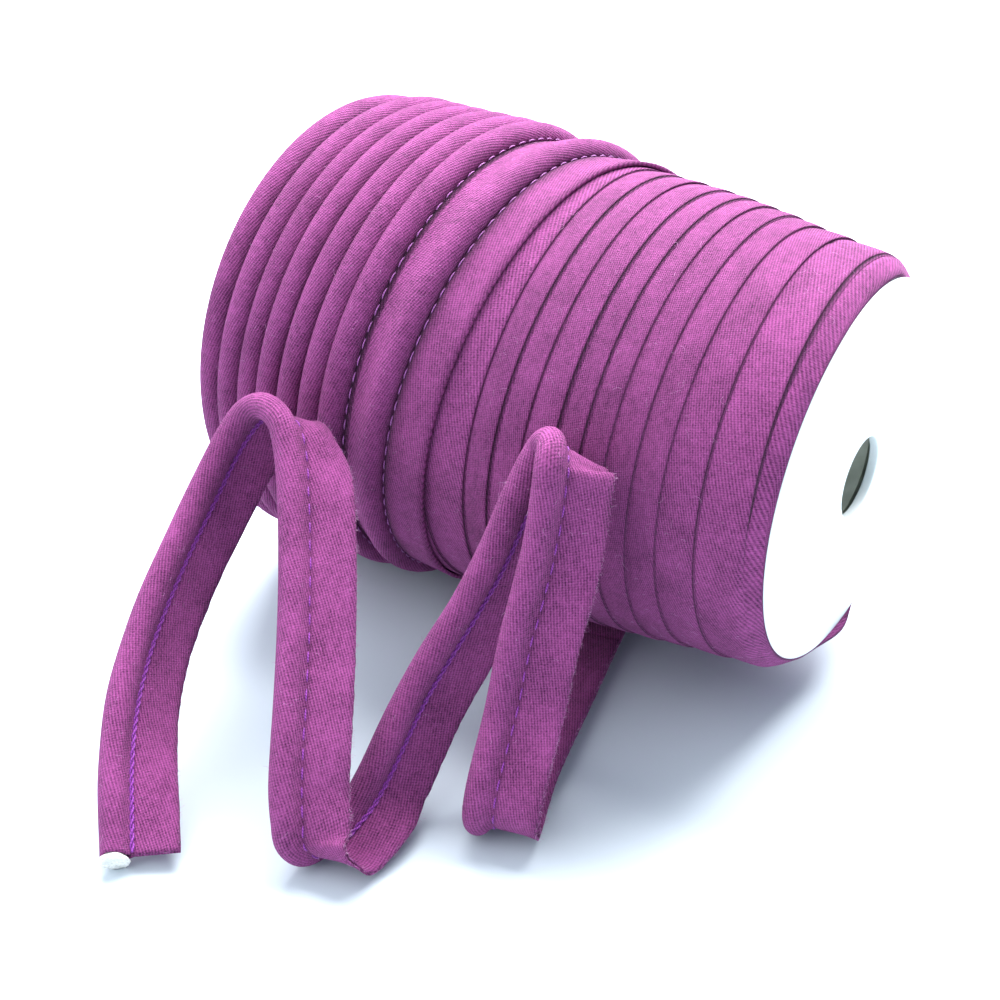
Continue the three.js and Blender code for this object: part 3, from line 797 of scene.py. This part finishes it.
def under_rim(x, radius, turn):
    """The radius where the cloth slopes down to the disc's rim: level with it in front, below it behind."""
    turn = turn % 1
    behind = soft_step(turn, 0.54, 0.60) * (1 - soft_step(turn, 0.86, 0.92))
    front_cap = RIM_FRONT_RADIUS - RIM_FRONT_SLOPE * np.maximum(x - RIM_FRONT, 0)
    rear_cap = RIM_BACK_RADIUS - RIM_BACK_SLOPE * np.maximum(x - RIM_BACK, 0)
    front_cap = np.maximum(front_cap, RIM_LEAST_RADIUS)
    cap = front_cap + (rear_cap - front_cap) * behind
    return np.where(x > RIM_BACK, np.minimum(radius, cap), radius)


def strip_line(place):
    """Where a strip's free edge lies and the radius there, with the slight unevenness of a wound tape."""
    row = np.maximum(place, 0)
    return (
        column(STRIP_TURNS, 0, row) + wobble(place * 6, 51, 0.09),
        column(STRIP_TURNS, 1, row) + wobble(place * 5, 52, 0.04),
    )


def strip_turns():
    """The rings of the flat strips, from the disc back to where the top layer hides them."""
    first, last = 1.6, 13.6
    place = np.linspace(last, first, int((last - first) * STEPS_PER_TURN) + 1)
    turn = 0.5 - place
    edge, radius = strip_line(place)
    before, radius_before = strip_line(place - 1)
    ply_out = column(STRIP_TURNS, 2, place) + wobble(place * 8, 53, 0.06)
    # The strip's face, from its free edge back and down to where the strip before it comes out
    share = np.array([0, 0.06, 0.16, 0.3, 0.45, 0.6, 0.75, 0.9, 1.0])
    width = (edge - before)[:, None]
    across = -share * width
    height = (radius[:, None] * (1 - share) + (radius_before[:, None] - 2 * PLY) * share) - radius[:, None]
    height = height + 0.14 * np.sin(math.pi * share) - 0.05 * (share == 0)
    tail = np.stack([across[:, -1] - 1.5, across[:, -1] - 1.5], axis=1)
    tail_height = np.stack([height[:, -1] - 0.1, height[:, -1] - 0.1 - 2 * PLY], axis=1)
    # The raw edges of its two plies, the lower one a little further out
    edge_across = np.stack([0.05 + 0 * edge, 0.0 * edge, ply_out - 0.06, ply_out, ply_out - 0.05], axis=1)
    edge_height = np.tile(EDGE_DROPS, (len(place), 1))
    back_height = height[:, 3:] - 2 * PLY
    all_across = np.concatenate([across[:, ::-1], edge_across, across[:, 3:], tail[:, 1:], tail[:, :1]], axis=1)
    all_height = np.concatenate(
        [height[:, ::-1], edge_height, back_height, tail_height[:, 1:], tail_height[:, :1]], axis=1
    )
    # Where the rim presses the cloth down, each face stays as far below the upper one as it is here
    below = np.zeros_like(all_across)
    edge_at = across.shape[1]
    below[:, edge_at : edge_at + 5] = EDGE_DROPS
    below[:, edge_at + 5 : -1] = -2 * PLY
    forward = 0.5 + 0.5 * np.sin(2 * math.pi * turn)
    lip = LIP_BACK + (LIP_FRONT - LIP_BACK) * np.sqrt(np.clip(1.4 * forward, 0, 1))
    lip += FLAP * np.exp(-((((turn + 0.5) % 1 - FLAP_AT) / FLAP_FOR) ** 2))
    x = np.minimum(edge[:, None] + all_across, lip[:, None])
    top = under_rim(x, radius[:, None] + all_height - below, turn[:, None])
    points = wound_points(x, top + below, turn[:, None])
    along = (last - place) * 2 * math.pi * 35
    shade = np.zeros_like(all_across)
    # Painted shade on the raw edges' faces and just inside the free edge, for the thin dark lines at each step
    shade[:, edge_at : edge_at + 5] = EDGE_SHADE
    shade[:, edge_at - 1] = 0.1
    cloth_across = np.concatenate([(-share * 6)[::-1], [0.2, 0.4, 1.0, 1.2, 1.4], -share[3:] * 6 + 3, [-8], [-8.4]])
    return points, cloth_across, along, shade


strip_data = strip_turns()
lower_layer = swept_mesh("lower_layer_strips", *strip_data[:3], purple_twill, strip_data[3])


# The inside and the two ends of the winding: the layers of piping under the ones that show, stacked against the
# end discs.

# Rings from the near disc round the outside to the far disc, as place along the axis and radius
UNDER_LAYERS = np.array([
    (48.05, 10.6), (48.1, 20.0), (48.1, 29.6), (48.3, 30.4), (48.2, 31.0), (46.0, 31.2), (38.0, 31.9), (29.0, 33.2),
    (20.0, 34.3), (10.0, 35.0), (0.0, 35.2), (-12.0, 35.1), (-24.0, 34.9), (-36.0, 34.8), (-43.5, 35.0),
    (-45.6, 36.6), (-46.9, 36.9), (-47.8, 36.2), (-48.2, 35.4), (-47.9, 34.9), (-48.5, 34.2), (-48.8, 33.4),
    (-48.4, 32.7), (-48.7, 32.1), (-48.9, 31.4), (-48.7, 30.6), (-48.2, 29.9), (-48.1, 20.0), (-48.05, 10.6),
])
UNDER_RIM = 0.5


def under_layers():
    """A closed ring of the hidden layers, with the turns' sides stacked at the far end."""
    turn = np.linspace(0, 1, 145)[:-1]
    along_axis = UNDER_LAYERS[None, :, 0] + 0 * turn[:, None]
    radius = UNDER_LAYERS[None, :, 1] + 0 * turn[:, None]
    radius = under_rim(along_axis, radius + UNDER_RIM, turn[:, None]) - UNDER_RIM
    points = wound_points(along_axis, radius, turn[:, None])
    points = np.concatenate([points, points[:1]])
    inside = np.concatenate([[0], np.cumsum(np.linalg.norm(np.diff(UNDER_LAYERS, axis=0), axis=1))])
    return points, inside, np.concatenate([turn, [1]]) * 220


# The hidden layers get an even painted shade of 0.25, as they lie under the turns that show.
winding_body = swept_mesh("winding_under_layers", *under_layers(), purple_twill, 0.25)

for cloth_piece in (top_layer, lower_layer, winding_body):
    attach(cloth_piece, "root")
    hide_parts("winding")


# The last run: where the top layer's tape leaves the roll underneath, it lies straight on the table as far as the
# loose end. It is the same folded cloth, swept along a straight line.

RUN_LENGTH = 22.0

def last_run():
    """Rings of the same folded piping, from under the roll to the start of the loose end."""
    start, flange = ROUTE[0, :3], unit(ROUTE[0, 3:])
    along = unit(ROUTE[1, :3] - ROUTE[0, :3])
    upright = np.cross(along, flange)
    line, gone = folded_section()
    half = CLOTH_THICKNESS / 2
    step = np.gradient(line, axis=0)
    out = np.stack([step[:, 1], -step[:, 0]], axis=1) / np.linalg.norm(step, axis=1)[:, None] * half
    section = np.concatenate([line + out, (line - out)[::-1]])
    length = np.linspace(-RUN_LENGTH, 0.0, 12)
    points = start + along * length[:, None, None] + flange * section[:, 0, None] + upright * section[:, 1, None]
    points[..., 2] = np.maximum(points[..., 2], CLOTH_LEAST_HEIGHT)
    return points, np.concatenate([gone, gone[::-1]]), length


run_piece = swept_mesh("last_run_piping", *last_run(), purple_twill)
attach(run_piece, "root")


# The seam of the wound turns: the same machine stitch, of which the needle thread's dashes show in the grooves
# that the next turn leaves open. The thread there is coloured paler than on the loose end, and each dash is a short
# tube of one mesh.

TURN_THREAD_RADIUS = 0.10
TURN_DASH_LENGTH, TURN_DASH_POINTS = 1.8, 6

def turn_stitches():
    """A dash for each stitch of the top layer, on the groove beside its bead."""
    first, last = -0.3, 7.48
    girth = 2 * math.pi * 37.5
    draw = random.Random(61)
    lines = []
    start = first
    while start < last:
        end = start + (TURN_DASH_LENGTH + draw.uniform(-0.1, 0.1)) / girth
        place = np.linspace(start, end, TURN_DASH_POINTS)
        half_width = column(BEAD_TURNS, 2, place)
        bead_x, crown = bead_line(place)
        tucked = (1 - soft_step(place, 5.05, 5.5)) * soft_step(place, 0.7, 1.1)
        drop = 2.26 + 0.35 * tucked
        across = half_width + 0.42 + draw.uniform(-0.05, 0.05)
        lift = np.sin(np.linspace(0, math.pi, TURN_DASH_POINTS)) * 0.16 - 0.06
        lines.append((wound_points(bead_x + across, crown - drop + lift, place + 0.5), True))
        start += SEAM_PITCH / girth
    return lines


pale_turn_thread = thread_finish("pale_violet_thread", (0.32, 0.07, 0.35, 1), (0.50, 0.18, 0.51, 1))
turn_thread = threads_mesh("turns_needle_thread", turn_stitches(), TURN_THREAD_RADIUS, pale_turn_thread, sides=6)
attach(turn_thread, "root")


# The roll's fuzz: the same stray fibres, which lie flat on the strips and stand up a little on the beads. They are
# one mesh of thin tubes.

STRIP_FIBRES, BEAD_FIBRES = 700, 900


def faces_out(place, out):
    """Whether a place on the roll lies on its outside."""
    radial = place - [0, 0, AXIS_HEIGHT]
    radial[:, 0] = 0
    radius = np.linalg.norm(radial, axis=1)
    return (np.sum(out * radial, axis=1) > 0.75 * radius) & (radius > 31.5) & (place[:, 2] > 1.5)


roll_fuzz_lines = fibre_lines(
    *cloth_fibres(lower_layer, STRIP_FIBRES, 75, faces_out), reach=1.5, lift=0.12, curl=5.0, seed=76
)
roll_fuzz_lines += fibre_lines(
    *cloth_fibres(top_layer, BEAD_FIBRES, 77, faces_out), reach=1.0, lift=0.35, curl=3.0, seed=78
)
roll_fuzz = threads_mesh("turns_fuzz", roll_fuzz_lines, FIBRE_RADIUS, stray_fibre, sides=3)
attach(roll_fuzz, "root")


# The end discs: stiff white plastic board, die-cut to a circle with a centre hole and pressed onto the tube. Each
# bows out slightly towards its hole, which sits a little low.

DISC_RADIUS = 0.0295
DISC_THICKNESS = 0.0015
DISC_HOLE_RADIUS = 0.0064
DISC_MIDDLE = 0.04915
DISC_BOW = 0.0009
HOLE_DROP = 0.0005
DISC_EDGE_WEAR = 0.00022
DISC_SIDES = 144


def board_finish():
    """White moulded plastic, slightly satin, with a faint unevenness; its slight cyan tint is painted reflection of
    the bluish floor.
    """
    board = Finish("white_board")
    place = board.node("ShaderNodeTexCoord", None, None, output=3)
    cloudy = board.node("ShaderNodeTexNoise", None, {"Vector": place, "Scale": 60.0, "Detail": 4.0})
    grain = board.node("ShaderNodeTexNoise", None, {"Vector": place, "Scale": 1500.0, "Detail": 3.0})
    # The cyan in both whites is painted reflection of the bluish floor.
    colour = board.mix(cloudy.between(0.3, 0.7), (0.78, 0.83, 0.84, 1), (0.82, 0.87, 0.88, 1))
    bump = board.node("ShaderNodeBump", None, {"Height": grain + cloudy, "Strength": 0.12, "Distance": 0.0002})
    return board.surface({
        "Base Color": colour,
        "Roughness": cloudy * 0.1 + 0.42,
        "Specular IOR Level": 0.4,
        "Normal": bump,
    })


white_board = board_finish()


def open_through(blank, wall):
    """Opens a round blank from end to end: both ends are inset by the wall, and the two faces bridged."""
    bpy.ops.object.mode_set(mode="EDIT")
    bpy.ops.mesh.select_mode(type="FACE")
    bpy.ops.mesh.select_all(action="DESELECT")
    bpy.ops.object.mode_set(mode="OBJECT")
    for polygon in blank.data.polygons:
        polygon.select = abs(polygon.normal.x) > 0.9
    bpy.ops.object.mode_set(mode="EDIT")
    bpy.ops.mesh.inset(thickness=wall)
    bpy.ops.mesh.bridge_edge_loops()
    bpy.ops.mesh.select_all(action="SELECT")
    bpy.ops.mesh.normals_make_consistent(inside=False)
    bpy.ops.object.mode_set(mode="OBJECT")


def end_disc(name, middle):
    """A disc with its hole, made as it is cut: a round blank, an inset to the hole, and the two faces bridged."""
    bpy.ops.object.select_all(action="DESELECT")
    bpy.ops.mesh.primitive_cylinder_add(
        vertices=DISC_SIDES, radius=DISC_RADIUS, depth=DISC_THICKNESS,
        location=(middle, 0, AXIS_HEIGHT / 1000), rotation=(0, math.pi / 2, 0),
    )
    disc = bpy.context.object
    disc.name = name
    bpy.ops.object.transform_apply(location=True, rotation=True, scale=True)
    open_through(disc, DISC_RADIUS - DISC_HOLE_RADIUS)
    for vertex in disc.data.vertices:
        if math.hypot(vertex.co.y, vertex.co.z - AXIS_HEIGHT / 1000) < DISC_RADIUS / 2:
            vertex.co.x += math.copysign(DISC_BOW, middle)
            vertex.co.z -= HOLE_DROP
    soften = disc.modifiers.new("worn_edges", "BEVEL")
    soften.width = DISC_EDGE_WEAR
    soften.segments = 3
    soften.limit_method = "ANGLE"
    bpy.ops.object.modifier_apply(modifier=soften.name)
    bpy.ops.object.shade_smooth_by_angle(angle=math.radians(40))
    disc.data.materials.append(white_board)
    return disc


for node, middle in (("end_disc_near", DISC_MIDDLE), ("end_disc_far", -DISC_MIDDLE)):
    disc = end_disc(node + "_board", middle)
    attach(disc, "root")
    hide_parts(node)


# The core: a tube between the discs, open from end to end, of plastic like the discs' but coloured a darker grey
# olive:
# partly the tube's own colour, partly painted shade for the dark inside of the hole. The piping is wound on it.

CORE_OUTER_RADIUS = 0.010
CORE_INNER_RADIUS = 0.0082
CORE_HALF_LENGTH = 0.0484
CORE_SIDES = 96


def core_finish():
    """The tube's duller plastic, whose grey olive is partly painted shade."""
    core = Finish("core_plastic")
    place = core.node("ShaderNodeTexCoord", None, None, output=3)
    dust = core.node("ShaderNodeTexNoise", None, {"Vector": place, "Scale": 300.0, "Detail": 5.0})
    colour = core.mix(dust.between(0.35, 0.7), (0.50, 0.52, 0.44, 1), (0.62, 0.64, 0.56, 1))
    bump = core.node("ShaderNodeBump", None, {"Height": dust, "Strength": 0.2, "Distance": 0.0002})
    return core.surface({"Base Color": colour, "Roughness": 0.7, "Specular IOR Level": 0.25, "Normal": bump})


bpy.ops.object.select_all(action="DESELECT")
bpy.ops.mesh.primitive_cylinder_add(
    vertices=CORE_SIDES, radius=CORE_OUTER_RADIUS, depth=2 * CORE_HALF_LENGTH,
    location=(0, 0, AXIS_HEIGHT / 1000), rotation=(0, math.pi / 2, 0),
)
core = bpy.context.object
core.name = "core_tube_plastic"
bpy.ops.object.transform_apply(location=True, rotation=True, scale=True)
open_through(core, CORE_OUTER_RADIUS - CORE_INNER_RADIUS)
bpy.ops.object.shade_smooth_by_angle(angle=math.radians(40))
core.data.materials.append(core_finish())
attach(core, "root")
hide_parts("core_tube")


# The floor is plain white paper, and the light is a bright soft studio: a pale surround, a large light above and
# behind, a weaker one in front to the left, and a faint one at the side of the near disc.

FLOOR_SIZE = 6
PAPER_COLOUR = (0.55, 0.62, 0.68, 1)
SURROUND_COLOUR, SURROUND_STRENGTH = (0.72, 0.86, 1.0, 1), 0.68

paper = Finish("white_paper")
paper_material = paper.surface({"Base Color": PAPER_COLOUR, "Roughness": 0.9, "Specular IOR Level": 0.1})
bpy.ops.object.select_all(action="DESELECT")
bpy.ops.mesh.primitive_plane_add(size=FLOOR_SIZE, location=(0, 0, 0))
floor = bpy.context.object
floor.name = "studio_floor"
floor.data.materials.append(paper_material)

world = bpy.data.worlds.new("bright_studio")
bpy.context.scene.world = world
world.use_nodes = True
world.node_tree.nodes["Background"].inputs["Color"].default_value = SURROUND_COLOUR
world.node_tree.nodes["Background"].inputs["Strength"].default_value = SURROUND_STRENGTH
bpy.context.scene.view_settings.view_transform = "Standard"


def soft_light(name, place, target, size, power):
    """A square soft light that faces its target."""
    bpy.ops.object.light_add(type="AREA", location=place)
    light = bpy.context.object
    light.name = name
    light.data.size = size
    light.data.energy = power
    direction = np.array(target) - np.array(place)
    spin = math.atan2(direction[1], direction[0]) - math.pi / 2
    tilt = math.acos(-direction[2] / np.linalg.norm(direction))
    light.rotation_euler = (tilt, 0, spin)


soft_light("back_light", place=(-0.16, 0.50, 0.72), target=(0, -0.02, 0.04), size=0.9, power=46)
soft_light("front_light", place=(-0.40, -0.60, 0.75), target=(0, -0.04, 0.02), size=1.2, power=12)
soft_light("side_light", place=(0.70, 0.10, 0.45), target=(0.03, 0, 0.04), size=0.5, power=0.3)
